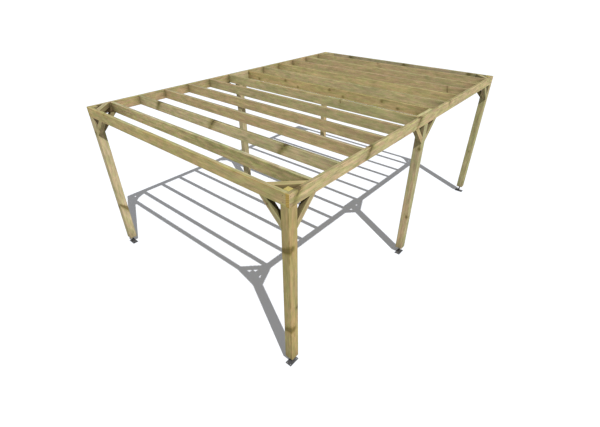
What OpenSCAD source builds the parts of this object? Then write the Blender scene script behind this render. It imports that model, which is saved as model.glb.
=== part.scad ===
// Freestanding timber pergola: six posts on steel feet, a perimeter frame of
// planks on edge, twelve rafters flush with the frame, a backing plank behind each
// side beam over the middle post, and braces at the posts.
// +X is the right-hand side, +Y runs from the front end to the back end, +Z is up.
// The origin is at the middle of the plan, on the ground.

/* [Frame] */
// Length over the side beams, front to back
frame_l = 6000; // [5400:10:6600]
// Width over the side beams, left to right
frame_w = 4090; // [3000:10:4800]
// Height of the top of the frame above the ground
frame_h = 2555; // [2200:5:2800]

/* [Beams and rafters] */
// Thickness of the beams and rafters
beam_t = 45; // [38:1:50]
// Depth of the beams and rafters
beam_d = 150; // [120:1:170]
// Distance from the front of the frame to the front face of the first rafter
rafter_start = 350; // [350:1:380]
// Distance from the back of the frame to the front face of the last rafter
rafter_end = 359; // [355:1:380]

/* [Posts] */
// Side of a square post
post_w = 117; // [110:1:120]
// Gap between the ground and the bottom of a post
post_gap = 122; // [80:1:140]

/* [Braces] */
// Depth of a knee brace, square to its length
knee_d = 68; // [50:1:75]
// Width of a knee brace
knee_w = 68; // [45:1:80]
// Long leg of a knee brace, along the post and along the beam
knee_leg = 285; // [220:5:400]
// Width of a flat corner brace, square to its length
corner_w = 68; // [50:1:70]
// Depth of a flat corner brace
corner_d = 68; // [40:1:100]
// Long leg of a flat corner brace, where the nearest rafter leaves room for it
corner_leg = 285; // [270:1:300]

/* [Post feet] */
// Long side of the ground plate
plate_l = 154; // [140:1:160]
// Short side of the ground plate
plate_w = 88; // [80:1:110]
// Thickness of the ground plate
plate_t = 8; // [5:1:12]
// Diameter of the round stem
stem_dia = 24; // [16:1:42]
// Side of the square top plate under the post
cap_w = 90; // [60:1:100]
// Thickness of the top plate
cap_t = 6; // [4:1:10]
// Diameter of an anchor hole in the ground plate
hole_dia = 11; // [9:1:14]
// Distance between the anchor holes along the plate
hole_sx = 114; // [100:1:118]
// Distance between the anchor holes across the plate
hole_sy = 52; // [46:1:58]

/* [Hidden] */

hx = frame_w / 2;
hy = frame_l / 2;
under = frame_h - beam_d;       // underside of beams and rafters, and the post shoulders
head = post_w - beam_t;         // side of the post head that stands inside the beams
rafter_n = 12;
rafter_pitch = (frame_l - rafter_start - rafter_end) / (rafter_n - 1);
mid_rafter = 6;                 // the last rafter in front of the middle posts
knee_in = knee_leg - knee_d * sqrt(2);
// Long leg of a corner brace at the front and at the back, 4 mm short of the rafter
leg_front = min(corner_leg, rafter_start - beam_t - 4);
leg_back = min(corner_leg, rafter_end - 2 * beam_t - 4);

// Puts its children in the corner of the plan given by the signs sx and sy.
// The children are drawn for the corner at +X, +Y, with that corner at the origin
// and the frame on the -X, -Y side of it.
module at_corner(sx, sy) {
    mirror([sx < 0 ? 1 : 0, 0, 0]) mirror([0, sy < 0 ? 1 : 0, 0])
        translate([hx, hy, 0]) children();
}

// Corner post: its head is cut back by one beam thickness on both outer faces
module corner_post() {
    color([0.66, 0.60, 0.42]) union() {
        translate([-post_w, -post_w, post_gap]) cube([post_w, post_w, under - post_gap]);
        translate([-post_w, -post_w, under - 1]) cube([head, head, beam_d + 1]);
    }
}

// Middle post: it ends square under the side beam
module middle_post(sx) {
    color([0.66, 0.60, 0.42]) mirror([sx < 0 ? 1 : 0, 0, 0])
        translate([hx - post_w, -post_w / 2, post_gap]) cube([post_w, post_w, under - post_gap]);
}

// Steel foot: a ground plate with four anchor holes, a round stem and a top plate
module foot(x, y, along_x) {
    color([0.25, 0.26, 0.27]) translate([x, y, 0]) rotate([0, 0, along_x ? 0 : 90]) {
        difference() {
            union() {
                translate([-plate_l / 2, -plate_w / 2, 0]) cube([plate_l, plate_w, plate_t]);
                cylinder(d = stem_dia, h = post_gap - 1, $fn = 64);
                translate([-cap_w / 2, -cap_w / 2, post_gap - cap_t]) cube([cap_w, cap_w, cap_t]);
            }
            for (i = [-1, 1], j = [-1, 1])
                translate([i * hole_sx / 2, j * hole_sy / 2, -1])
                    cylinder(d = hole_dia, h = plate_t + 2, $fn = 48);
        }
    }
}

// Long beam on one side, over the full length of the frame
module side_beam(sx) {
    color([0.70, 0.64, 0.45]) mirror([sx < 0 ? 1 : 0, 0, 0])
        translate([hx - beam_t, -hy, under]) cube([beam_t, frame_l, beam_d]);
}

// Plank behind a side beam over the middle post, filling the gap between two rafters
module backing_plank(sx) {
    color([0.68, 0.62, 0.43]) mirror([sx < 0 ? 1 : 0, 0, 0])
        translate([hx - 2 * beam_t, -hy + rafter_start + (mid_rafter - 1) * rafter_pitch + beam_t, under])
            cube([beam_t, rafter_pitch - beam_t, beam_d]);
}

// Short beam at one end, between the side beams
module end_beam(sy) {
    color([0.66, 0.60, 0.42]) mirror([0, sy < 0 ? 1 : 0, 0])
        translate([-hx + beam_t, hy - beam_t, under]) cube([frame_w - 2 * beam_t, beam_t, beam_d]);
}

// Rafter number i, counted from the front
module rafter(i) {
    color([0.64, 0.58, 0.41])
        translate([-hx + beam_t, -hy + rafter_start + (i - 1) * rafter_pitch, under])
            cube([frame_w - 2 * beam_t, beam_t, beam_d]);
}

// Side view of a knee brace: the origin is the corner between post and beam,
// +x runs along the beam and -y down the post
module knee_outline() {
    polygon([[0, -knee_in], [knee_in, 0], [knee_leg, 0], [0, -knee_leg]]);
}

// Knee brace from a corner post to the end beam, outer faces in line
module knee_end(sx, sy) {
    color([0.62, 0.56, 0.40]) at_corner(sx, sy)
        translate([-post_w, 0, under]) mirror([1, 0, 0]) rotate([90, 0, 0])
            linear_extrude(height = knee_w) knee_outline();
}

// Knee brace from a corner post to the side beam
module knee_side(sx, sy) {
    color([0.62, 0.56, 0.40]) at_corner(sx, sy)
        translate([-knee_w, -post_w, under]) rotate([90, 0, -90]) mirror([0, 0, 1])
            linear_extrude(height = knee_w) knee_outline();
}

// Knee brace from a middle post to the side beam, towards the end given by sy
module knee_middle(sx, sy) {
    color([0.62, 0.56, 0.40]) mirror([sx < 0 ? 1 : 0, 0, 0]) mirror([0, sy < 0 ? 1 : 0, 0])
        translate([hx - knee_w, post_w / 2, under]) rotate([90, 0, 90])
            linear_extrude(height = knee_w) knee_outline();
}

// Flat brace across a corner of the frame, between the end beam and the side beam
module corner_brace(sx, sy) {
    long = sy < 0 ? leg_front : leg_back;
    short = long - corner_w * sqrt(2);
    color([0.68, 0.62, 0.43]) at_corner(sx, sy)
        translate([-beam_t, -beam_t, frame_h - corner_d]) linear_extrude(height = corner_d)
            polygon([[-short, 0], [-long, 0], [0, -long], [0, -short]]);
}

// Middle of a corner post in the plan
cx = hx - post_w / 2;
cy = hy - post_w / 2;

at_corner(-1, -1) corner_post();  // post_front_left
at_corner(1, -1) corner_post();  // post_front_right
middle_post(-1);  // post_middle_left
middle_post(1);  // post_middle_right
at_corner(-1, 1) corner_post();  // post_back_left
at_corner(1, 1) corner_post();  // post_back_right
foot(-cx, -cy, true);  // foot_front_left
foot(cx, -cy, false);  // foot_front_right
foot(-cx, 0, false);  // foot_middle_left
foot(cx, 0, false);  // foot_middle_right
foot(-cx, cy, false);  // foot_back_left
foot(cx, cy, true);  // foot_back_right
side_beam(-1);  // side_beam_left
side_beam(1);  // side_beam_right
backing_plank(-1);  // backing_plank_left
backing_plank(1);  // backing_plank_right
end_beam(-1);  // end_beam_front
end_beam(1);  // end_beam_back
rafter(1);  // rafter_01
rafter(2);  // rafter_02
rafter(3);  // rafter_03
rafter(4);  // rafter_04
rafter(5);  // rafter_05
rafter(6);  // rafter_06
rafter(7);  // rafter_07
rafter(8);  // rafter_08
rafter(9);  // rafter_09
rafter(10);  // rafter_10
rafter(11);  // rafter_11
rafter(12);  // rafter_12
knee_end(-1, -1);  // knee_brace_front_left_end
knee_side(-1, -1);  // knee_brace_front_left_side
knee_end(1, -1);  // knee_brace_front_right_end
knee_side(1, -1);  // knee_brace_front_right_side
knee_middle(-1, -1);  // knee_brace_middle_left_front
knee_middle(-1, 1);  // knee_brace_middle_left_back
knee_middle(1, -1);  // knee_brace_middle_right_front
knee_middle(1, 1);  // knee_brace_middle_right_back
knee_end(-1, 1);  // knee_brace_back_left_end
knee_side(-1, 1);  // knee_brace_back_left_side
knee_end(1, 1);  // knee_brace_back_right_end
knee_side(1, 1);  // knee_brace_back_right_side
corner_brace(-1, -1);  // corner_brace_front_left
corner_brace(1, -1);  // corner_brace_front_right
corner_brace(-1, 1);  // corner_brace_back_left
corner_brace(1, 1);  // corner_brace_back_right
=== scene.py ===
import math
import random

import bmesh
import bpy
from mathutils import Matrix, Vector


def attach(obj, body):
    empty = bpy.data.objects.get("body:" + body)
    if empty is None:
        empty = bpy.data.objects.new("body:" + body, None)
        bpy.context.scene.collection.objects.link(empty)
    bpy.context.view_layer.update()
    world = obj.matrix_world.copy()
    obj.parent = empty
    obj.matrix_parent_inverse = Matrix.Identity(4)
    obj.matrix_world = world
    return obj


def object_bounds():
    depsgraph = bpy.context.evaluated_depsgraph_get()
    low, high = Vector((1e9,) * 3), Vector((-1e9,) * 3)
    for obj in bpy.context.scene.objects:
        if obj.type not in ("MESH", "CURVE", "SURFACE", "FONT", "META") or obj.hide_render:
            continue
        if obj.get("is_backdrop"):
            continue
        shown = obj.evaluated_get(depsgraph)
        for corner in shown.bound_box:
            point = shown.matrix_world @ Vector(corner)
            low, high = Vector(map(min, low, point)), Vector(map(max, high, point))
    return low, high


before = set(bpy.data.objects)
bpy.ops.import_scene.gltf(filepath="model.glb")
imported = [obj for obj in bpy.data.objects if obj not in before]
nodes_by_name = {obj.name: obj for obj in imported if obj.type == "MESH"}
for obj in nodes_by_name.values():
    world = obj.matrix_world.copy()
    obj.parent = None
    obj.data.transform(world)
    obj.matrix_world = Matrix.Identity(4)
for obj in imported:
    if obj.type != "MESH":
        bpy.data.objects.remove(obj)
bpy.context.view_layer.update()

scene = bpy.context.scene
scene.view_settings.view_transform = "Standard"
scene.view_settings.look = "None"
scene.view_settings.exposure = 0.0
scene.view_settings.gamma = 1.0

# ---------------------------------------------------------------- camera
YAW, PITCH, ROLL = math.radians(-40.227), math.radians(33.200), math.radians(-0.061)
look = Vector((math.sin(YAW) * math.cos(PITCH), math.cos(YAW) * math.cos(PITCH), -math.sin(PITCH)))
right = Vector((math.cos(YAW), -math.sin(YAW), 0.0))
up = right.cross(look)
right2 = right * math.cos(ROLL) + up * math.sin(ROLL)
up2 = up * math.cos(ROLL) - right * math.sin(ROLL)
cam_data = bpy.data.cameras.new("camera")
cam_data.sensor_fit = "HORIZONTAL"
cam_data.sensor_width = 36.0
cam_data.lens = 22.070
cam_data.clip_start = 0.05
cam_data.clip_end = 2000.0
cam = bpy.data.objects.new("camera", cam_data)
scene.collection.objects.link(cam)
m = Matrix.Identity(4)
for i in range(3):
    m[i][0], m[i][1], m[i][2] = right2[i], up2[i], -look[i]
    m[i][3] = (3.9848, -5.1401, 4.2405)[i]
cam.matrix_world = m
scene.camera = cam

# ---------------------------------------------------------------- light and floor
SUN = Vector((0.5165, -0.2654, 0.8141)).normalized()
sun_data = bpy.data.lights.new("sun", "SUN")
sun_data.energy = 3.4
sun_data.angle = math.radians(0.42)
sun = bpy.data.objects.new("sun", sun_data)
sun.rotation_mode = "QUATERNION"
sun.rotation_quaternion = SUN.to_track_quat("Z", "Y")
sun.location = SUN * 12
scene.collection.objects.link(sun)

world = bpy.data.worlds.new("studio")
world.use_nodes = True
scene.world = world
wn, wl = world.node_tree.nodes, world.node_tree.links
wn.clear()
w_out = wn.new("ShaderNodeOutputWorld")
w_mix = wn.new("ShaderNodeMixShader")
w_path = wn.new("ShaderNodeLightPath")
w_fill = wn.new("ShaderNodeBackground")
w_fill.inputs["Color"].default_value = (1, 1, 1, 1)
w_fill.inputs["Strength"].default_value = 0.30
w_seen = wn.new("ShaderNodeBackground")
w_seen.inputs["Color"].default_value = (1, 1, 1, 1)
w_seen.inputs["Strength"].default_value = 1.0
wl.new(w_path.outputs["Is Camera Ray"], w_mix.inputs[0])
wl.new(w_fill.outputs[0], w_mix.inputs[1])
wl.new(w_seen.outputs[0], w_mix.inputs[2])
wl.new(w_mix.outputs[0], w_out.inputs[0])

floor_mesh = bpy.data.meshes.new("floor")
S = 400.0
floor_mesh.from_pydata([(-S, -S, 0), (S, -S, 0), (S, S, 0), (-S, S, 0)], [], [(0, 1, 2, 3)])
floor = bpy.data.objects.new("floor", floor_mesh)
scene.collection.objects.link(floor)
floor_mat = bpy.data.materials.new("floor")
floor_mat.use_nodes = True
fn, fl = floor_mat.node_tree.nodes, floor_mat.node_tree.links
fn.clear()
f_out = fn.new("ShaderNodeOutputMaterial")
f_mix = fn.new("ShaderNodeMixShader")
f_path = fn.new("ShaderNodeLightPath")
f_dim = fn.new("ShaderNodeBsdfDiffuse")
f_dim.inputs["Color"].default_value = (0.27, 0.27, 0.27, 1)
f_pale = fn.new("ShaderNodeBsdfDiffuse")
f_pale.inputs["Color"].default_value = (0.915, 0.937, 0.985, 1)
fl.new(f_path.outputs["Is Camera Ray"], f_mix.inputs[0])
fl.new(f_dim.outputs[0], f_mix.inputs[1])
fl.new(f_pale.outputs[0], f_mix.inputs[2])
fl.new(f_mix.outputs[0], f_out.inputs[0])
floor_mesh.materials.append(floor_mat)
floor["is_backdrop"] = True


# ---------------------------------------------------------------- node helpers
class Tree:
    """Short ways to add shader nodes. Each call gives back an output socket."""

    def __init__(self, tree):
        self.tree, self.n, self.l = tree, tree.nodes, tree.links

    def put(self, socket, value):
        if isinstance(value, bpy.types.NodeSocket):
            self.l.new(value, socket)
        elif isinstance(value, (tuple, list)) and socket.type == "RGBA" and len(value) == 3:
            socket.default_value = (*value, 1.0)
        else:
            socket.default_value = value

    def math(self, op, a, b=None, c=None, clamp=False):
        node = self.n.new("ShaderNodeMath")
        node.operation, node.use_clamp = op, clamp
        for i, v in enumerate((a, b, c)):
            if v is not None:
                self.put(node.inputs[i], v)
        return node.outputs[0]

    def add(self, a, b): return self.math("ADD", a, b)
    def sub(self, a, b): return self.math("SUBTRACT", a, b)
    def mul(self, a, b): return self.math("MULTIPLY", a, b)
    def low(self, a, b): return self.math("MINIMUM", a, b)
    def high(self, a, b): return self.math("MAXIMUM", a, b)

    def vec(self, op, a, b=None, scale=None):
        node = self.n.new("ShaderNodeVectorMath")
        node.operation = op
        self.put(node.inputs[0], a)
        if b is not None:
            self.put(node.inputs[1], b)
        if scale is not None:
            self.put(node.inputs["Scale"], scale)
        return node.outputs["Value" if op in ("DOT_PRODUCT", "LENGTH", "DISTANCE") else "Vector"]

    def split(self, v):
        node = self.n.new("ShaderNodeSeparateXYZ")
        self.put(node.inputs[0], v)
        return node.outputs[0], node.outputs[1], node.outputs[2]

    def join(self, x, y, z):
        node = self.n.new("ShaderNodeCombineXYZ")
        for i, v in enumerate((x, y, z)):
            self.put(node.inputs[i], v)
        return node.outputs[0]

    def noise(self, v, detail=2.0, rough=0.5, colour=False, scale=1.0):
        node = self.n.new("ShaderNodeTexNoise")
        node.noise_dimensions = "3D"
        self.put(node.inputs["Vector"], v)
        node.inputs["Scale"].default_value = scale
        node.inputs["Detail"].default_value = detail
        node.inputs["Roughness"].default_value = rough
        return node.outputs[1 if colour else 0]

    def white(self, w, colour=False):
        node = self.n.new("ShaderNodeTexWhiteNoise")
        node.noise_dimensions = "1D"
        self.put(node.inputs["W"], w)
        return node.outputs[1 if colour else 0]

    def step(self, v, lo, hi, a=0.0, b=1.0):
        """Smooth step: a below lo, b above hi (lo may be above hi)."""
        node = self.n.new("ShaderNodeMapRange")
        node.interpolation_type = "SMOOTHSTEP"
        if not isinstance(lo, bpy.types.NodeSocket) and not isinstance(hi, bpy.types.NodeSocket) and lo > hi:
            lo, hi, a, b = hi, lo, b, a
        for i, x in enumerate((v, lo, hi, a, b)):
            self.put(node.inputs[i], x)
        return node.outputs[0]

    def mix(self, fac, a, b, kind="MIX"):
        node = self.n.new("ShaderNodeMix")
        node.data_type, node.blend_type, node.clamp_factor = "RGBA", kind, True
        self.put(node.inputs[0], fac)
        self.put(node.inputs[6], a)
        self.put(node.inputs[7], b)
        return node.outputs[2]

    def shade(self, colour, factor):
        """Colour times a number."""
        node = self.n.new("ShaderNodeVectorMath")
        node.operation = "SCALE"
        self.put(node.inputs[0], colour)
        self.put(node.inputs["Scale"], factor)
        return node.outputs["Vector"]

    def group(self, tree, **values):
        node = self.n.new("ShaderNodeGroup")
        node.node_tree = tree
        for key, value in values.items():
            self.put(node.inputs[key.replace("_", " ")], value)
        return node


def new_group(name, ins, outs):
    kinds = {"F": "NodeSocketFloat", "V": "NodeSocketVector", "C": "NodeSocketColor"}
    tree = bpy.data.node_groups.new(name, "ShaderNodeTree")
    for key, kind, default in ins:
        s = tree.interface.new_socket(key, in_out="INPUT", socket_type=kinds[kind])
        s.default_value = (*default, 1.0) if kind == "C" else default
    for key, kind in outs:
        tree.interface.new_socket(key, in_out="OUTPUT", socket_type=kinds[kind])
    t = Tree(tree)
    gi = tree.nodes.new("NodeGroupInput")
    go = tree.nodes.new("NodeGroupOutput")
    return t, {s.name: s for s in gi.outputs if s.name}, {s.name: s for s in go.inputs if s.name}


# ---------------------------------------------------------------- a branch inside the trunk
# The trunk's pith runs along X. A branch is a thin cone from the pith outwards, so
# a board cuts it as a round knot, an oval one or a long spike, as in real timber.
t, i, o = new_group(
    "branch",
    [("P", "V", (0, 0, 0)), ("X0", "F", 0), ("Azimuth", "F", 0), ("Slope", "F", 0.3), ("Radius", "F", 0.006), ("Taper", "F", 0.08), ("Stretch", "F", 0.45)],
    [("D", "F"), ("Halo", "F")],
)
axis = t.vec("NORMALIZE", t.join(i["Slope"], t.math("COSINE", i["Azimuth"]), t.math("SINE", i["Azimuth"])))
q = t.vec("SUBTRACT", i["P"], t.join(i["X0"], 0.0, 0.0))
along = t.high(t.vec("DOT_PRODUCT", q, axis), 0.0)
off = t.vec("SUBTRACT", q, t.vec("SCALE", axis, scale=along))
reach = t.add(i["Radius"], t.mul(i["Taper"], along))
t.put(o["D"], t.math("DIVIDE", t.vec("LENGTH", off), reach))
t.put(o["Halo"], t.math("DIVIDE", t.vec("LENGTH", t.vec("MULTIPLY", off, t.join(i["Stretch"], 1.0, 1.0))), reach))
BRANCH = t.tree

# ---------------------------------------------------------------- planed, pressure-treated softwood
t, i, o = new_group(
    "timber",
    [
        ("P", "V", (0, 0, 0)),  # position in the member's own axes, X along the grain
        ("N", "V", (0, 0, 1)),
        ("Axis", "V", (1, 0, 0)),  # the grain direction, to find end grain
        ("Seed", "V", (0, 0, 0)),
        ("Pith", "V", (0, 0, 0)),
        ("Drift", "V", (0, 0, 0)),
        ("Half", "V", (1, 1, 1)),
        ("Sap", "C", (0.6, 0.5, 0.25)),
        ("Heart", "C", (0.6, 0.45, 0.25)),
        ("Green", "C", (0.45, 0.46, 0.2)),
        ("Green Amount", "F", 0.5),
        ("Heart Radius", "F", 0.05),
        ("Ring Width", "F", 0.0042),
        ("Contrast", "F", 0.75),
        ("Knot Gap", "F", 0.45),
        ("Knot Size", "F", 0.006),
        ("Knot Share", "F", 0.7),
        ("Halo Amount", "F", 0.5),
        ("Own D", "F", 99.0),
        ("Own Halo", "F", 99.0),
        ("Own Amount", "F", 0.7),
        ("Check", "F", 0.0),
        ("Check Azimuth", "F", 0.0),
        # how strongly corners hidden from the sky are painted darker as shade
        ("Grime", "F", 1.0),
        ("Mottle", "F", 0.8),
        ("Top", "C", (0.64, 0.67, 0.71)),  # painted shade: darkens and greys the faces that lie up
        ("End", "C", (0.80, 0.85, 0.86)),  # tints the end grain
        ("Knot Dark", "F", 1.0),
    ],
    [("Color", "C"), ("Roughness", "F"), ("Normal", "V")],
)
P, seed = i["P"], i["Seed"]
px, py, pz = t.split(P)
sx, sy, sz = t.split(seed)
# the pith wanders along the log
hx_, hy_, hz_ = t.split(i["Pith"])
_, dy_, dz_ = t.split(i["Drift"])
wob = t.vec("SCALE", t.vec("SUBTRACT", t.noise(t.vec("ADD", t.vec("MULTIPLY", P, (0.9, 3.0, 3.0)), seed), 1.5, 0.5, True), (0.5, 0.5, 0.5)), scale=0.030)
wx, wy, wz = t.split(wob)
ry = t.add(t.sub(t.sub(py, hy_), t.mul(dy_, px)), wy)
rz = t.add(t.sub(t.sub(pz, hz_), t.mul(dz_, px)), wz)
# whorls of branches, one to a stretch of the log
u = t.add(t.math("DIVIDE", px, i["Knot Gap"]), sx)
cell = t.math("FLOOR", u)
f = t.mul(t.sub(u, cell), i["Knot Gap"])
w_a = t.add(t.mul(cell, 7.31), t.mul(sy, 13.7))
a1, a2, a3 = t.split(t.white(w_a, True))
b1, b2, b3 = t.split(t.white(t.add(w_a, 101.7), True))
PL = t.join(f, ry, rz)
x0 = t.mul(i["Knot Gap"], t.math("MULTIPLY_ADD", a1, 0.36, 0.32))
az = t.mul(a2, 6.2832)
slope = t.math("MULTIPLY_ADD", a3, 0.30, 0.18)
D = t.add(i["Own D"], t.mul(t.sub(t.noise(t.vec("ADD", t.vec("MULTIPLY", P, (19.0, 30.0, 30.0)), seed), 2.0), 0.5), 0.9))
HL = i["Own Halo"]
size = t.mul(i["Knot Size"], t.math("MULTIPLY_ADD", b1, 0.9, 0.55))
for turn, wiggle, rnd, grow in ((0.0, a3, b2, 1.0), (2.0, b2, b3, 0.75), (4.1, b3, a1, 0.6)):
    g = t.group(BRANCH, P=PL, X0=t.add(x0, t.mul(t.sub(rnd, 0.5), 0.03)), Azimuth=t.add(az, t.add(turn, t.mul(wiggle, 0.7))), Slope=slope, Radius=t.mul(size, grow), Taper=0.075)
    gone = t.mul(t.math("GREATER_THAN", t.math("FRACT", t.add(t.mul(rnd, 3.7), a2)), i["Knot Share"]), 50.0)
    D = t.low(D, t.add(g.outputs["D"], gone))
    HL = t.low(HL, t.add(g.outputs["Halo"], gone))
# noises, each stretched along the grain
s1 = t.noise(t.vec("ADD", t.vec("MULTIPLY", P, (0.85, 6.5, 6.5)), t.vec("SCALE", seed, scale=1.7)), 3.5, 0.55)
s1b = t.noise(t.vec("ADD", t.vec("MULTIPLY", P, (1.3, 9.0, 9.0)), t.vec("SCALE", seed, scale=3.1)), 3.0, 0.5)
s2 = t.noise(t.vec("ADD", t.vec("MULTIPLY", P, (3.0, 26.0, 26.0)), t.vec("SCALE", seed, scale=2.3)), 3.0, 0.55)
s3 = t.noise(t.vec("ADD", t.vec("MULTIPLY", P, (9.0, 75.0, 75.0)), t.vec("SCALE", seed, scale=1.3)), 3.0, 0.6)
fib = t.noise(t.vec("ADD", t.vec("MULTIPLY", P, (7.0, 480.0, 480.0)), seed), 3.0, 0.65)
fib2 = t.noise(t.vec("ADD", t.vec("MULTIPLY", P, (2.4, 140.0, 140.0)), seed), 2.0, 0.55)
fleck = t.noise(t.vec("ADD", t.vec("MULTIPLY", P, (70.0, 850.0, 850.0)), seed), 1.0, 0.5)
patch_r, patch_g, patch_b = t.split(t.noise(t.vec("ADD", t.vec("MULTIPLY", P, (7.0, 27.0, 27.0)), t.vec("SCALE", seed, scale=0.9)), 2.5, 0.55, True))
streak = t.noise(t.vec("ADD", t.vec("MULTIPLY", P, (2.6, 46.0, 46.0)), t.vec("SCALE", seed, scale=0.7)), 2.5, 0.55)
# growth rings bend around the branches
rough_d = t.add(D, t.mul(t.sub(t.noise(t.vec("MULTIPLY", P, (110.0, 150.0, 150.0)), 2.0), 0.5), 0.28))
swirl = t.mul(t.math("EXPONENT", t.mul(t.high(t.sub(HL, 0.7), 0.0), -0.62)), 0.016)
rad = t.vec("LENGTH", t.join(0.0, ry, rz))
rad = t.add(rad, t.mul(t.sub(s1b, 0.5), 0.016))
rad = t.add(rad, t.mul(t.sub(s3, 0.5), 0.0022))
rad = t.sub(rad, swirl)
phase = t.math("DIVIDE", rad, i["Ring Width"])
ring = t.math("FLOOR", phase)
w = t.math("FRACT", phase)
amp = t.math("MULTIPLY_ADD", t.white(t.add(ring, sz)), 0.6, 0.55)
late = t.mul(t.sub(t.step(w, 0.22, 0.86), t.step(w, 0.90, 1.0)), amp)
# colour: green-tinted sapwood around a warmer heart
heart = t.step(t.add(rad, t.mul(t.sub(s1, 0.5), 0.06)), t.add(i["Heart Radius"], 0.012), t.sub(i["Heart Radius"], 0.012), 0.0, 1.0)
col = t.mix(t.mul(heart, 0.85), i["Sap"], i["Heart"])
col = t.mix(t.mul(t.step(s1, 0.45, 0.63), i["Green Amount"]), col, i["Green"])
# the treatment takes unevenly: greener, pinker, paler and darker patches drawn out along the grain
hue = t.mix(t.step(patch_r, 0.40, 0.60), t.mix(1.0, col, (0.90, 0.985, 0.84), "MULTIPLY"), t.mix(1.0, col, (1.05, 0.965, 1.0), "MULTIPLY"))
col = t.mix(i["Mottle"], col, hue)
col = t.shade(col, t.math("MULTIPLY_ADD", t.mul(t.sub(patch_g, 0.5), i["Mottle"]), 0.95, 1.0))
col = t.mix(t.mul(t.step(patch_b, 0.57, 0.72), t.mul(i["Mottle"], 0.5)), col, t.mix(1.0, col, (0.70, 0.72, 0.58), "MULTIPLY"))
col = t.mix(t.mul(t.step(patch_b, 0.43, 0.28), t.mul(i["Mottle"], 0.5)), col, t.mix(1.0, col, (1.14, 1.18, 1.34), "MULTIPLY"))
col = t.shade(col, t.math("MULTIPLY_ADD", t.mul(t.sub(streak, 0.5), i["Mottle"]), 0.85, 1.0))
col = t.shade(col, t.math("MULTIPLY_ADD", s2, 0.24, 0.88))
col = t.shade(col, t.math("MULTIPLY_ADD", s3, 0.26, 0.87))
col = t.shade(col, t.math("MULTIPLY_ADD", fib2, 0.24, 0.88))
col = t.shade(col, t.math("MULTIPLY_ADD", fib, 0.30, 0.85))
col = t.mix(t.mul(late, i["Contrast"]), col, t.mix(1.0, col, (0.72, 0.61, 0.46), "MULTIPLY"))
col = t.mix(t.mul(t.step(fleck, 0.66, 0.76), 0.45), col, t.mix(1.0, col, (0.45, 0.36, 0.24), "MULTIPLY"))
# stained grain around a branch, the knot itself and its dark bark ring
halo_d = t.mul(HL, t.math("MULTIPLY_ADD", s3, 1.1, 0.45))
halo = t.step(halo_d, 4.6, 0.9)
col = t.mix(t.mul(halo, i["Halo Amount"]), col, t.mix(1.0, col, (0.50, 0.46, 0.33), "MULTIPLY"))
own = t.step(t.mul(i["Own Halo"], t.math("MULTIPLY_ADD", s3, 1.1, 0.45)), 2.5, 0.9)
col = t.mix(t.mul(own, i["Own Amount"]), col, t.mix(1.0, col, (0.50, 0.515, 0.28), "MULTIPLY"))
knot = t.step(rough_d, 1.04, 0.82)
heart_of = t.math("FRACT", t.mul(rough_d, 3.2))
kcol = t.mix(t.mul(heart_of, 0.8), (0.255, 0.175, 0.074), (0.155, 0.103, 0.043))
kcol = t.shade(kcol, t.math("MULTIPLY_ADD", s3, 0.9, 0.6))
col = t.mix(t.mul(t.mul(knot, 0.86), i["Knot Dark"]), col, kcol)
bark = t.mul(t.step(rough_d, 0.74, 0.95), t.step(rough_d, 1.18, 1.0))
col = t.mix(t.mul(t.mul(bark, 0.62), i["Knot Dark"]), col, (0.085, 0.058, 0.030))
# end grain: rings with a strong beat, rays and small cracks from the pith
facing = t.math("ABSOLUTE", t.vec("DOT_PRODUCT", i["N"], i["Axis"]))
end = t.step(facing, 0.42, 0.62)
turn = t.math("ARCTAN2", rz, ry)
ray = t.noise(t.join(t.mul(turn, 60.0), t.mul(rad, 30.0), sz), 2.0, 0.5)
ecol = t.mix(t.mul(late, 0.9), (0.76, 0.61, 0.20), (0.44, 0.29, 0.075))
ecol = t.shade(ecol, t.math("MULTIPLY_ADD", ray, 0.35, 0.82))
ecol = t.shade(ecol, t.math("MULTIPLY_ADD", s3, 0.30, 0.85))
years = t.math("SINE", t.math("DIVIDE", t.add(rad, t.mul(t.sub(s1b, 0.5), 0.010)), 0.0036))
ecol = t.shade(ecol, t.math("MULTIPLY_ADD", years, 0.12, 1.0))
ecol = t.mix(1.0, ecol, i["End"], "MULTIPLY")
star = t.mul(t.step(t.noise(t.join(t.mul(turn, 2.6), sy, sz), 1.0), 0.60, 0.66), t.step(rad, 0.045, 0.010))
ecol = t.mix(t.mul(star, 0.7), ecol, (0.10, 0.065, 0.03))
col = t.mix(end, col, ecol)
# one long drying crack, radial from near the pith
ca, sa = t.math("COSINE", i["Check Azimuth"]), t.math("SINE", i["Check Azimuth"])
drift = t.mul(t.sub(t.noise(t.join(t.mul(px, 2.2), sy, sz), 3.0), 0.5), 0.016)
across = t.math("ABSOLUTE", t.add(t.sub(t.mul(ry, sa), t.mul(rz, ca)), drift))
outward = t.step(t.add(t.mul(ry, ca), t.mul(rz, sa)), 0.012, 0.030)
where = t.step(t.noise(t.join(t.mul(px, 1.3), sx, sy), 2.0), 0.47, 0.56)
width = t.mul(where, 0.0013)
crack = t.mul(t.mul(t.step(t.sub(across, width), 0.0006, -0.0002), t.mul(outward, where)), i["Check"])
col = t.mix(t.mul(crack, 0.85), col, (0.055, 0.038, 0.022))
# painted highlight: the eased edges are painted paler, as if they caught the light
_, qy, qz = t.split(t.vec("ABSOLUTE", P))
_, lim_y, lim_z = t.split(i["Half"])
edge_highlight = t.mul(t.step(t.sub(lim_y, qy), 0.0058, 0.0015), t.step(t.sub(lim_z, qz), 0.0058, 0.0015))
col = t.mix(t.mul(edge_highlight, t.math("MULTIPLY_ADD", s3, 0.5, 0.10)), col, t.mix(1.0, col, (1.30, 1.26, 1.16), "MULTIPLY"))
# painted shade: faces that lie up are painted darker and greyer, more in some patches
_, _, nz = t.split(i["N"])
top_shade_mask = t.mul(t.mul(t.step(nz, 0.72, 0.95), t.math("MULTIPLY_ADD", s2, 0.30, 0.85)), t.math("SUBTRACT", 1.0, end))
col = t.mix(top_shade_mask, col, t.mix(1.0, col, i["Top"], "MULTIPLY"))
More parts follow.
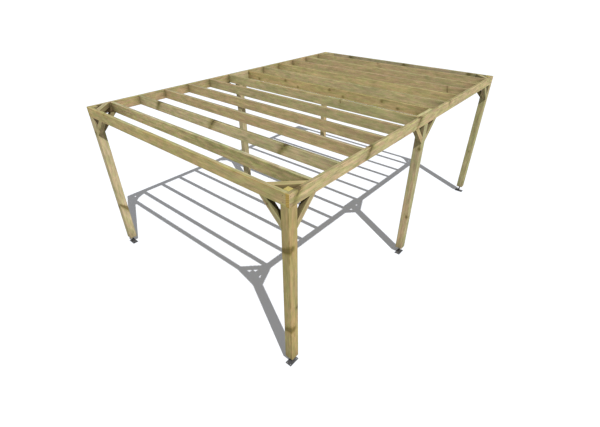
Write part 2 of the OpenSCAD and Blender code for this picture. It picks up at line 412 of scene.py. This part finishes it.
# painted shade: corners that nearby parts hide from the sky are painted darker, found by ambient occlusion; the same
# mask makes them a little rougher
ao = t.n.new("ShaderNodeAmbientOcclusion")
ao.samples = 8
ao.inputs["Distance"].default_value = 0.42
occlusion = t.math("SUBTRACT", 1.0, ao.outputs["AO"])
corner_shade_mask = t.math("MULTIPLY", t.mul(occlusion, i["Grime"]), t.math("MULTIPLY_ADD", s2, 0.5, 0.90), clamp=True)
col = t.mix(corner_shade_mask, col, t.mix(1.0, col, (0.15, 0.135, 0.095), "MULTIPLY"))
t.put(o["Color"], col)
r = t.math("MULTIPLY_ADD", fib, 0.16, 0.60)
r = t.sub(r, t.mul(knot, 0.12))
r = t.sub(r, t.mul(late, 0.05))
r = t.add(r, t.mul(end, 0.08))
t.put(o["Roughness"], t.add(r, t.mul(corner_shade_mask, 0.08)))
h = t.mul(late, 0.30)
h = t.add(h, t.mul(fib, 0.55))
h = t.add(h, t.mul(fib2, 0.40))
h = t.add(h, t.mul(s3, 0.30))
h = t.sub(h, t.mul(bark, 0.55))
h = t.add(h, t.mul(knot, 0.25))
h = t.sub(h, t.mul(crack, 4.0))
h = t.sub(h, t.mul(t.mul(star, end), 1.5))
bump = t.n.new("ShaderNodeBump")
bump.inputs["Strength"].default_value = 0.75
bump.inputs["Distance"].default_value = 0.0007
t.put(bump.inputs["Height"], h)
t.put(o["Normal"], bump.outputs[0])
TIMBER = t.tree

# ---------------------------------------------------------------- named tones of treated pine (linear)
TONE = {
    "olive": (0.60, 0.545, 0.300),
    "moss": (0.52, 0.500, 0.268),
    "straw": (0.74, 0.625, 0.345),
    "tan": (0.69, 0.555, 0.305),
    "pink": (0.69, 0.520, 0.325),
    "gold": (0.62, 0.485, 0.195),
    "sand": (0.74, 0.640, 0.390),
    "honey": (0.67, 0.535, 0.268),
    "fern": (0.585, 0.520, 0.255),
    "rose": (0.80, 0.615, 0.365),
}

X, Y, Z = Vector((1, 0, 0)), Vector((0, 1, 0)), Vector((0, 0, 1))


def own_axes(name):
    """The member's axes in the model: along the grain, then two across it."""
    sx = 1 if "right" in name else -1
    sy = 1 if "back" in name else -1
    if name.startswith("post"):
        return Z, X, Y
    if name.startswith(("side_beam", "backing")):
        return Y, -X, Z
    if name.startswith(("end_beam", "rafter")):
        return X, Y, Z
    if name.startswith("corner"):
        a = Vector((sx, -sy, 0)).normalized()
        return a, Z.cross(a), Z
    if name.startswith("knee_brace_middle"):
        a = Vector((0, 1 if name.endswith("back") else -1, 1)).normalized()
        return a, X, a.cross(X)
    if name.endswith("_end"):
        a = Vector((-sx, 0, 1)).normalized()
        return a, Y, a.cross(Y)
    a = Vector((0, -sy, 1)).normalized()
    return a, X, a.cross(X)


def own_frame(name):
    """Axes, centre and half sizes of a member, read from the CAD mesh."""
    axes = own_axes(name)
    vs = [v.co for v in nodes_by_name[name].data.vertices]
    lo = [min(v.dot(a) for v in vs) for a in axes]
    hi = [max(v.dot(a) for v in vs) for a in axes]
    mid = sum((axes[k] * (lo[k] + hi[k]) / 2 for k in range(3)), Vector())
    return axes, mid, [(hi[k] - lo[k]) / 2 for k in range(3)]


def timber(name, sap, heart, green=0.5, seed=0, pith=None, heart_r=0.03, ring=0.0042, contrast=0.75, gap=0.45, knot=0.005, share=0.2,
           halo=0.35, own=(), own_amount=0.7, check=0.0, check_az=0.0, green_tone="moss", corner_shade=1.0, mottle=0.8, top_shade=(0.64, 0.67, 0.71), level=1.0,
           end=(0.80, 0.85, 0.86), knot_dark=1.0):
    """own: branches listed one by one, each (x, y, z of its root in the member's axes, azimuth in degrees, slope,
    radius, taper).
    level: how light this member is against the others, one number or one for each of R, G and B."""
    level = level if isinstance(level, tuple) else (level, level, level)
    tint = [tuple(c * v for c, v in zip(TONE[key], level)) for key in (sap, heart, green_tone)]
    rng = random.Random(1000 + seed)
    axes, mid, half = own_frame(name)
    if pith is None:
        pith = (rng.uniform(-0.3, 0.3) * half[1], (half[2] + rng.uniform(0.008, 0.03)) * rng.choice((-1, 1)))
    mat = bpy.data.materials.new("timber_" + name)
    mat.use_nodes = True
    t = Tree(mat.node_tree)
    bsdf = t.n["Principled BSDF"]
    bsdf.inputs["Specular IOR Level"].default_value = 0.32
    coords = t.n.new("ShaderNodeTexCoord")
    place = t.n.new("ShaderNodeMapping")
    place.vector_type = "TEXTURE"
    place.inputs["Location"].default_value = mid
    place.inputs["Rotation"].default_value = Matrix(axes).transposed().to_euler("XYZ")
    t.l.new(coords.outputs["Object"], place.inputs["Vector"])
    P = place.outputs[0]
    D, H = 99.0, 99.0
    for x0, y0, z0, az, slope, radius, taper in own:
        PP = t.vec("SUBTRACT", P, (0.0, y0, z0))
        g = t.group(BRANCH, P=PP, X0=x0, Azimuth=math.radians(az), Slope=slope, Radius=radius, Taper=taper, Stretch=0.8)
        D = g.outputs["D"] if D == 99.0 else t.low(D, g.outputs["D"])
        H = g.outputs["Halo"] if H == 99.0 else t.low(H, g.outputs["Halo"])
    g = t.group(
        TIMBER, P=P, N=coords.outputs["Normal"], Axis=axes[0][:], Seed=(rng.uniform(0, 60), rng.uniform(0, 60), rng.uniform(0, 60)),
        Pith=(0.0, pith[0], pith[1]), Drift=(0.0, rng.uniform(-0.006, 0.006), rng.uniform(-0.006, 0.006)), Half=tuple(half),
        Sap=tint[0], Heart=tint[1], Green=tint[2], Green_Amount=green, Heart_Radius=heart_r, Ring_Width=ring, Contrast=contrast,
        Knot_Gap=gap, Knot_Size=knot, Knot_Share=share, Halo_Amount=halo, Own_D=D, Own_Halo=H, Own_Amount=own_amount,
        Check=check, Check_Azimuth=check_az, Grime=corner_shade, Mottle=mottle, Top=top_shade, End=end, Knot_Dark=knot_dark,
    )
    t.l.new(g.outputs["Color"], bsdf.inputs["Base Color"])
    t.l.new(g.outputs["Roughness"], bsdf.inputs["Roughness"])
    t.l.new(g.outputs["Normal"], bsdf.inputs["Normal"])
    ob = nodes_by_name[name]
    ob.data.materials.clear()
    ob.data.materials.append(mat)
    weld = ob.modifiers.new("weld", "WELD")
    weld.merge_threshold = 0.00002
    ease = ob.modifiers.new("eased_edges", "BEVEL")
    ease.width = 0.0045 if name.startswith("post") else 0.0035
    ease.segments = 3
    ease.limit_method = "ANGLE"
    ease.angle_limit = math.radians(40)
    ease.harden_normals = True


# branches that leave long spikes slantwise across a plank's face, 1.31 m apart as in the photo
def spikes(xs, slope, radius=0.015, taper=0.05):
    return [(x, 0.0, -0.085, 90, slope, radius, taper) for x in xs]


BACK_SPIKES = (-1.265, 0.150, 1.569)
timber("side_beam_right", "straw", "tan", seed=1, pith=(-0.012, -0.088), own=spikes((-2.955, -1.657, -0.330), 0.66), green=0.45, mottle=1.0, share=0.1, level=(0.93, 0.92, 0.95),
       top_shade=(0.615, 0.63, 0.60), end=(0.92, 0.82, 0.66))
# this beam's inner face gets stronger painted shade in its corners
timber("side_beam_left", "tan", "pink", seed=2, corner_shade=1.35, mottle=1.0)
timber("backing_plank_right", "sand", "tan", seed=5, green=0.4, mottle=1.0, share=0.0, top_shade=(0.86, 0.88, 0.90))
timber("backing_plank_left", "sand", "olive", seed=6, green=0.5, mottle=0.8, share=0.0, corner_shade=0.9)
timber("end_beam_front", "tan", "gold", seed=3, green=0.7, green_tone="olive", share=0.05, level=(1.03, 1.03, 0.90), top_shade=(0.66, 0.75, 0.98))
timber("end_beam_back", "tan", "pink", seed=4, level=(1.05, 1.12, 1.31), own=[(x - 0.03, 0.002, 0.046, 180, 1.6, 0.013, 0.10) for x in BACK_SPIKES], knot_dark=0.7)
R = {
    1: ("sand", "tan", 0.9), 2: ("straw", "tan", 0.5), 3: ("tan", "pink", 0.2), 4: ("tan", "pink", 0.25), 5: ("olive", "pink", 0.6), 6: ("olive", "tan", 0.6),
    7: ("tan", "pink", 0.3), 8: ("straw", "tan", 0.7), 9: ("straw", "pink", 0.3), 10: ("tan", "pink", 0.3), 11: ("tan", "pink", 0.45), 12: ("tan", "pink", 0.3),
}
# painted shade on the rafters' top faces, in three tints: greyed, plain or dull
GREYED, PLAIN, DULL = (0.53, 0.58, 0.69), (0.55, 0.585, 0.565), (0.46, 0.485, 0.45)
R_TOP = {1: GREYED, 3: GREYED, 4: GREYED, 5: PLAIN, 6: PLAIN, 11: PLAIN}
R_LEVEL = {1: (1.15, 1.15, 1.03), 2: (1.0, 1.03, 1.11), 5: (1.04, 1.01, 1.0), 6: (1.08, 1.06, 1.03), 7: (1.0, 1.0, 0.86), 9: (1.03, 1.01, 0.92)}
R_OWN = {
    2: spikes((-1.525, -0.200, 1.120), 0.78),
    7: [(x, 0.002, z, 180, 0.25, r, 0.12) for x, z, r in (
        (-1.955, 0.035, 0.010), (-0.930, 0.036, 0.010), (0.110, 0.034, 0.010), (1.150, 0.033, 0.010),
        (-1.640, -0.034, 0.008), (-0.620, -0.030, 0.008), (0.400, -0.032, 0.008), (1.440, -0.034, 0.008))],
}
for k, (sap, heart, green) in R.items():
    timber("rafter_%02d" % k, sap, heart, green=green, seed=10 + k, own=R_OWN.get(k, ()), share=0.0 if k == 5 else 0.1 if k in R_OWN else 0.16,
           green_tone="olive" if k == 1 else "moss", level=R_LEVEL.get(k, 1.0), mottle=1.1 if k == 1 else 0.8, top_shade=R_TOP.get(k, DULL), knot_dark=0.40 if k == 7 else 1.0, own_amount=0.6 if k == 7 else 0.7)
timber("post_front_right", "fern", "honey", seed=30, pith=(0.045, -0.010), heart_r=0.055, green=0.45, check=0.8, check_az=-1.45, share=0.0, level=(0.94, 0.90, 0.83), knot_dark=0.45,
       mottle=0.7, own_amount=0.85,
       own=[(0.505, -0.055, -0.050, -6, 0.42, 0.013, 0.09), (0.59, 0.010, -0.022, 0, -0.45, 0.010, 0.12),
            (-0.700, -0.055, -0.050, -7, 0.42, 0.013, 0.09), (-0.63, 0.010, -0.018, 0, -0.45, 0.011, 0.12), (-0.33, 0.020, 0.036, 10, 0.1, 0.007, 0.10)])
timber("post_front_left", "sand", "pink", seed=31, pith=(-0.010, 0.014), heart_r=0.03, green=0.3, check=0.7, check_az=2.0, share=0.0, level=0.94, end=(0.56, 0.62, 0.80), knot_dark=0.8,
       own=[(-0.485, 0.052, -0.060, 84, -1.05, 0.009, 0.08), (-0.56, -0.020, -0.030, -95, 0.3, 0.012, 0.10), (0.80, -0.010, -0.020, -95, 0.2, 0.012, 0.10)])
timber("post_middle_right", "olive", "rose", seed=32, pith=(0.000, -0.046), heart_r=0.052, check=0.7, check_az=0.4, share=0.1, level=(0.95, 0.98, 1.02), knot_dark=0.8,
       own=[(-0.480, 0.040, -0.010, -88, 0.3, 0.010, 0.10), (0.745, 0.040, -0.010, -88, 0.3, 0.009, 0.10)])
timber("post_middle_left", "sand", "tan", seed=33, pith=(0.0, -0.012), heart_r=0.03, check=0.7, check_az=3.0, share=0.4, level=0.80)
timber("post_back_right", "olive", "tan", seed=34, pith=(0.010, 0.0), heart_r=0.03, green=0.8, check=0.7, check_az=-0.3, share=0.1)
timber("post_back_left", "tan", "pink", seed=35, pith=(-0.012, 0.006), heart_r=0.03, check=0.8, check_az=1.2, share=0.4)
k = 40
for name in nodes_by_name:
    if "brace" in name:
        k += 1
        # painted shade: braces are painted darker in their corners, and the knee braces on the front posts' sides are
        # set darker still (level 0.78)
        timber(name, ("olive", "straw", "tan")[k % 3], ("tan", "pink")[k % 2], seed=k, green=0.5, gap=0.34, knot=0.0045, share=0.25,
               corner_shade=0.9 if name.startswith("corner") else 1.4, level=(0.99, 0.92, 0.83) if name == "corner_brace_front_right" else 0.78 if "knee_brace_front" in name and name.endswith("side") else 0.92, top_shade=(0.72, 0.76, 0.80))

# ---------------------------------------------------------------- powder-coated steel
steel = bpy.data.materials.new("foot_steel")
steel.use_nodes = True
t = Tree(steel.node_tree)
bsdf = t.n["Principled BSDF"]
bsdf.inputs["Specular IOR Level"].default_value = 0.45
coords = t.n.new("ShaderNodeTexCoord")
P = coords.outputs["Object"]
_, _, z = t.split(P)
n1 = t.noise(P, 4.0, 0.55, scale=22.0)
n2 = t.noise(P, 2.0, 0.5, scale=160.0)
peel = t.noise(P, 1.5, 0.5, scale=900.0)
dust = t.mul(t.step(n1, 0.40, 0.72), t.step(z, 0.060, 0.0, 0.25, 1.0))
col = t.mix(t.mul(n2, 0.6), (0.088, 0.091, 0.096), (0.120, 0.123, 0.127))
col = t.mix(t.mul(dust, 0.45), col, (0.24, 0.23, 0.205))
rust = t.mul(t.step(t.noise(P, 5.0, 0.7, scale=48.0), 0.66, 0.74), 0.5)
col = t.mix(rust, col, (0.13, 0.065, 0.035))
# painted shade: the steel is painted darker and browner where nearby parts hide it from the sky, found by ambient
# occlusion
ao = t.n.new("ShaderNodeAmbientOcclusion")
ao.samples = 8
ao.inputs["Distance"].default_value = 0.30
col = t.mix(t.math("MULTIPLY", t.math("SUBTRACT", 1.0, ao.outputs["AO"]), 1.15, clamp=True), col, t.mix(1.0, col, (0.16, 0.125, 0.10), "MULTIPLY"))
t.l.new(col, bsdf.inputs["Base Color"])
t.l.new(t.math("MULTIPLY_ADD", n1, 0.30, 0.36), bsdf.inputs["Roughness"])
bump = t.n.new("ShaderNodeBump")
bump.inputs["Strength"].default_value = 0.5
bump.inputs["Distance"].default_value = 0.0002
t.put(bump.inputs["Height"], t.add(peel, t.mul(rust, 1.5)))
t.l.new(bump.outputs[0], bsdf.inputs["Normal"])
for name, ob in nodes_by_name.items():
    if name.startswith("foot"):
        ob.data.materials.clear()
        ob.data.materials.append(steel)
        weld = ob.modifiers.new("weld", "WELD")
        weld.merge_threshold = 0.00002
        ease = ob.modifiers.new("eased_edges", "BEVEL")
        ease.width = 0.0009
        ease.segments = 2
        ease.limit_method = "ANGLE"
        ease.angle_limit = math.radians(40)
        ease.harden_normals = True

# ---------------------------------------------------------------- weld beads on the feet
def span(name):
    """Low and high corner of a node's own box."""
    vs = [v.co for v in nodes_by_name[name].data.vertices]
    return Vector([min(v[k] for v in vs) for k in range(3)]), Vector([max(v[k] for v in vs) for k in range(3)])


def piece(name, bm, materials, closed=True):
    if closed:
        bmesh.ops.recalc_face_normals(bm, faces=bm.faces)
    mesh = bpy.data.meshes.new(name)
    bm.to_mesh(mesh)
    bm.free()
    for poly in mesh.polygons:
        poly.use_smooth = True
    for mat in materials:
        mesh.materials.append(mat)
    ob = bpy.data.objects.new(name, mesh)
    scene.collection.objects.link(ob)
    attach(ob, "root")
    return ob


def skin(bm, rings, closed):
    """Quads between rings of vertices; closed joins the last ring to the first."""
    n = len(rings[0])
    pairs = list(zip(rings, rings[1:])) + ([(rings[-1], rings[0])] if closed else [])
    return [bm.faces.new((a[k], a[(k + 1) % n], b[(k + 1) % n], b[k])) for a, b in pairs for k in range(n)]


STEM = 0.012
bm = bmesh.new()
rng = random.Random(7)
for name in nodes_by_name:
    if not name.startswith("foot"):
        continue
    lo, hi = span(name)
    cx, cy = (lo.x + hi.x) / 2, (lo.y + hi.y) / 2
    for z0, way in ((0.008, 1), (hi.z - 0.006, -1)):
        start, rings = rng.uniform(0, 6.28), []
        for k in range(96):
            a = k / 96 * 2 * math.pi
            # overlapping scales of the bead, and a hand that isn't quite steady
            size = 0.0036 * (1 + 0.10 * math.sin(16 * a + start) + 0.05 * math.sin(3 * a + 2 * start) + rng.uniform(-0.02, 0.02))
            ring = []
            for j in range(8):
                b = math.radians(-12 + 114 * j / 7)
                bulge = 0.80 + 0.16 * math.sin(2 * max(0.0, min(b, math.pi / 2)))
                ring.append((STEM + size * bulge * math.cos(b), size * bulge * math.sin(b)))
            ring += [(STEM - 0.0007, size * 0.5), (STEM - 0.0007, -0.0005)]
            rings.append([bm.verts.new((cx + r * math.cos(a), cy + r * math.sin(a), z0 + way * h)) for r, h in ring])
        skin(bm, rings, True)
piece("foot_welds", bm, [steel])

# ---------------------------------------------------------------- screws
zinc = bpy.data.materials.new("screw_zinc")
zinc.use_nodes = True
t = Tree(zinc.node_tree)
bsdf = t.n["Principled BSDF"]
bsdf.inputs["Metallic"].default_value = 0.55
P = t.n.new("ShaderNodeTexCoord").outputs["Object"]
tarnish = t.noise(P, 3.0, 0.6, scale=260.0)
col = t.mix(t.step(tarnish, 0.35, 0.65), (0.34, 0.285, 0.165), (0.235, 0.195, 0.115))
col = t.mix(t.mul(t.step(t.noise(P, 2.0, 0.5, scale=900.0), 0.60, 0.72), 0.5), col, (0.11, 0.075, 0.045))
t.l.new(col, bsdf.inputs["Base Color"])
t.l.new(t.math("MULTIPLY_ADD", tarnish, 0.35, 0.32), bsdf.inputs["Roughness"])
# painted shade: the screw recess is painted nearly black, speckled with grit
recess = bpy.data.materials.new("screw_recess")
recess.use_nodes = True
t = Tree(recess.node_tree)
bsdf = t.n["Principled BSDF"]
P = t.n.new("ShaderNodeTexCoord").outputs["Object"]
grit = t.noise(P, 3.0, 0.6, scale=700.0)
t.l.new(t.mix(grit, (0.030, 0.024, 0.016), (0.085, 0.068, 0.042)), bsdf.inputs["Base Color"])
t.l.new(t.math("MULTIPLY_ADD", grit, 0.25, 0.60), bsdf.inputs["Roughness"])


def screw(bm, at, way, spin):
    """A countersunk head, half a millimetre proud, with a six-lobed recess."""
    way = Vector(way).normalized()
    side = way.orthogonal().normalized()
    up_ = way.cross(side)

    def ring(radius, height, lobe=0.0):
        vs = []
        for k in range(36):
            a = k / 36 * 2 * math.pi
            r = radius + lobe * math.cos(6 * a)
            vs.append(bm.verts.new(at + way * height + (side * math.cos(a + spin) + up_ * math.sin(a + spin)) * r))
        return vs

    skin(bm, [ring(0.00475, -0.0004), ring(0.00478, 0.0001), ring(0.00466, 0.00034), ring(0.0043, 0.00050), ring(0.0031, 0.00056), ring(0.0021, 0.00056, 0.00030)], False)
    star, floor_ = ring(0.0021, 0.00056, 0.00030), ring(0.0020, 0.00008, 0.00028)
    dark = skin(bm, [star, floor_], False)
    centre = bm.verts.new(at + way * 0.00006)
    dark += [bm.faces.new((floor_[k], floor_[(k + 1) % 36], centre)) for k in range(36)]
    # the recess faces take the dark recess material: painted shade
    for face in dark:
        face.material_index = 1


def screws(name, places):
    bm = bmesh.new()
    rng = random.Random(name)
    for at, way in places:
        screw(bm, Vector(at), way, rng.uniform(0, 1.0))
    piece(name, bm, [zinc, recess], closed=False)


side_lo, side_hi = span("side_beam_right")
under_z, out_x, out_y = side_lo.z, side_hi.x, side_hi.y
rafter_y = [(a.y + b.y) / 2 for a, b in (span("rafter_%02d" % k) for k in range(1, 13))]
beam = side_hi.x - side_lo.x
post_lo, post_hi = span("post_front_right")
post = post_hi.x - post_lo.x
head_mid = (post + beam) / 2
rng = random.Random(11)


def jog(v, d=0.004):
    return v + rng.uniform(-d, d)


for sign, word in ((-1, "left"), (1, "right")):
    places = [((sign * out_x, jog(y, 0.003), jog(under_z + h)), (sign, 0, 0)) for y in rafter_y for h in (0.034, 0.116)]
    for end in (-1, 1):
        places += [((sign * out_x, end * (out_y - beam / 2), jog(under_z + h)), (sign, 0, 0)) for h in (0.030, 0.120)]
        places += [((sign * out_x, jog(end * (out_y - head_mid)), jog(under_z + h)), (sign, 0, 0)) for h in (0.055, 0.098)]
    lo, hi = span("backing_plank_" + word)
    inner = lo.x if sign > 0 else hi.x
    places += [((inner, jog(y), jog(under_z + h)), (-sign, 0, 0)) for y in (lo.y + 0.06, hi.y - 0.06) for h in (0.036, 0.112)]
    screws("screws_side_beam_" + word, places)
for end, word in ((-1, "front"), (1, "back")):
    screws("screws_end_beam_" + word, [((jog(sign * (out_x - head_mid)), end * out_y, jog(under_z + h)), (0, end, 0)) for sign in (-1, 1) for h in (0.040, 0.112)])
places = []
for name in nodes_by_name:
    if "brace" not in name:
        continue
    axes, mid, half = own_frame(name)
    lo, hi = span(name)
    long_, corner = axes[0], name.startswith("corner")
    # the long face looks away from the corner that the brace stiffens
    other = axes[1] if corner else axes[2]
    if corner:
        to_corner = Vector((1 if "right" in name else -1, 1 if "back" in name else -1, 0))
    elif name.startswith("knee_brace_middle"):
        to_corner = Vector((0, -1 if name.endswith("back") else 1, 1))
    elif name.endswith("_end"):
        to_corner = Vector((1 if "right" in name else -1, 0, 1))
    else:
        to_corner = Vector((0, 1 if "back" in name else -1, 1))
    h = half[1] if corner else half[2]
    way = other if other.dot(to_corner) < 0 else -other
    across = axes[2] if corner else axes[1]
    w = half[2] if corner else half[1]
    for s in (-1, 1):
        for v in ((-0.45, 0.45) if corner else (-0.42, 0.42)):
            places.append((mid + long_ * s * (half[0] - 0.040) + way * h + across * v * w, way))
screws("screws_braces", places)

lo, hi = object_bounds()
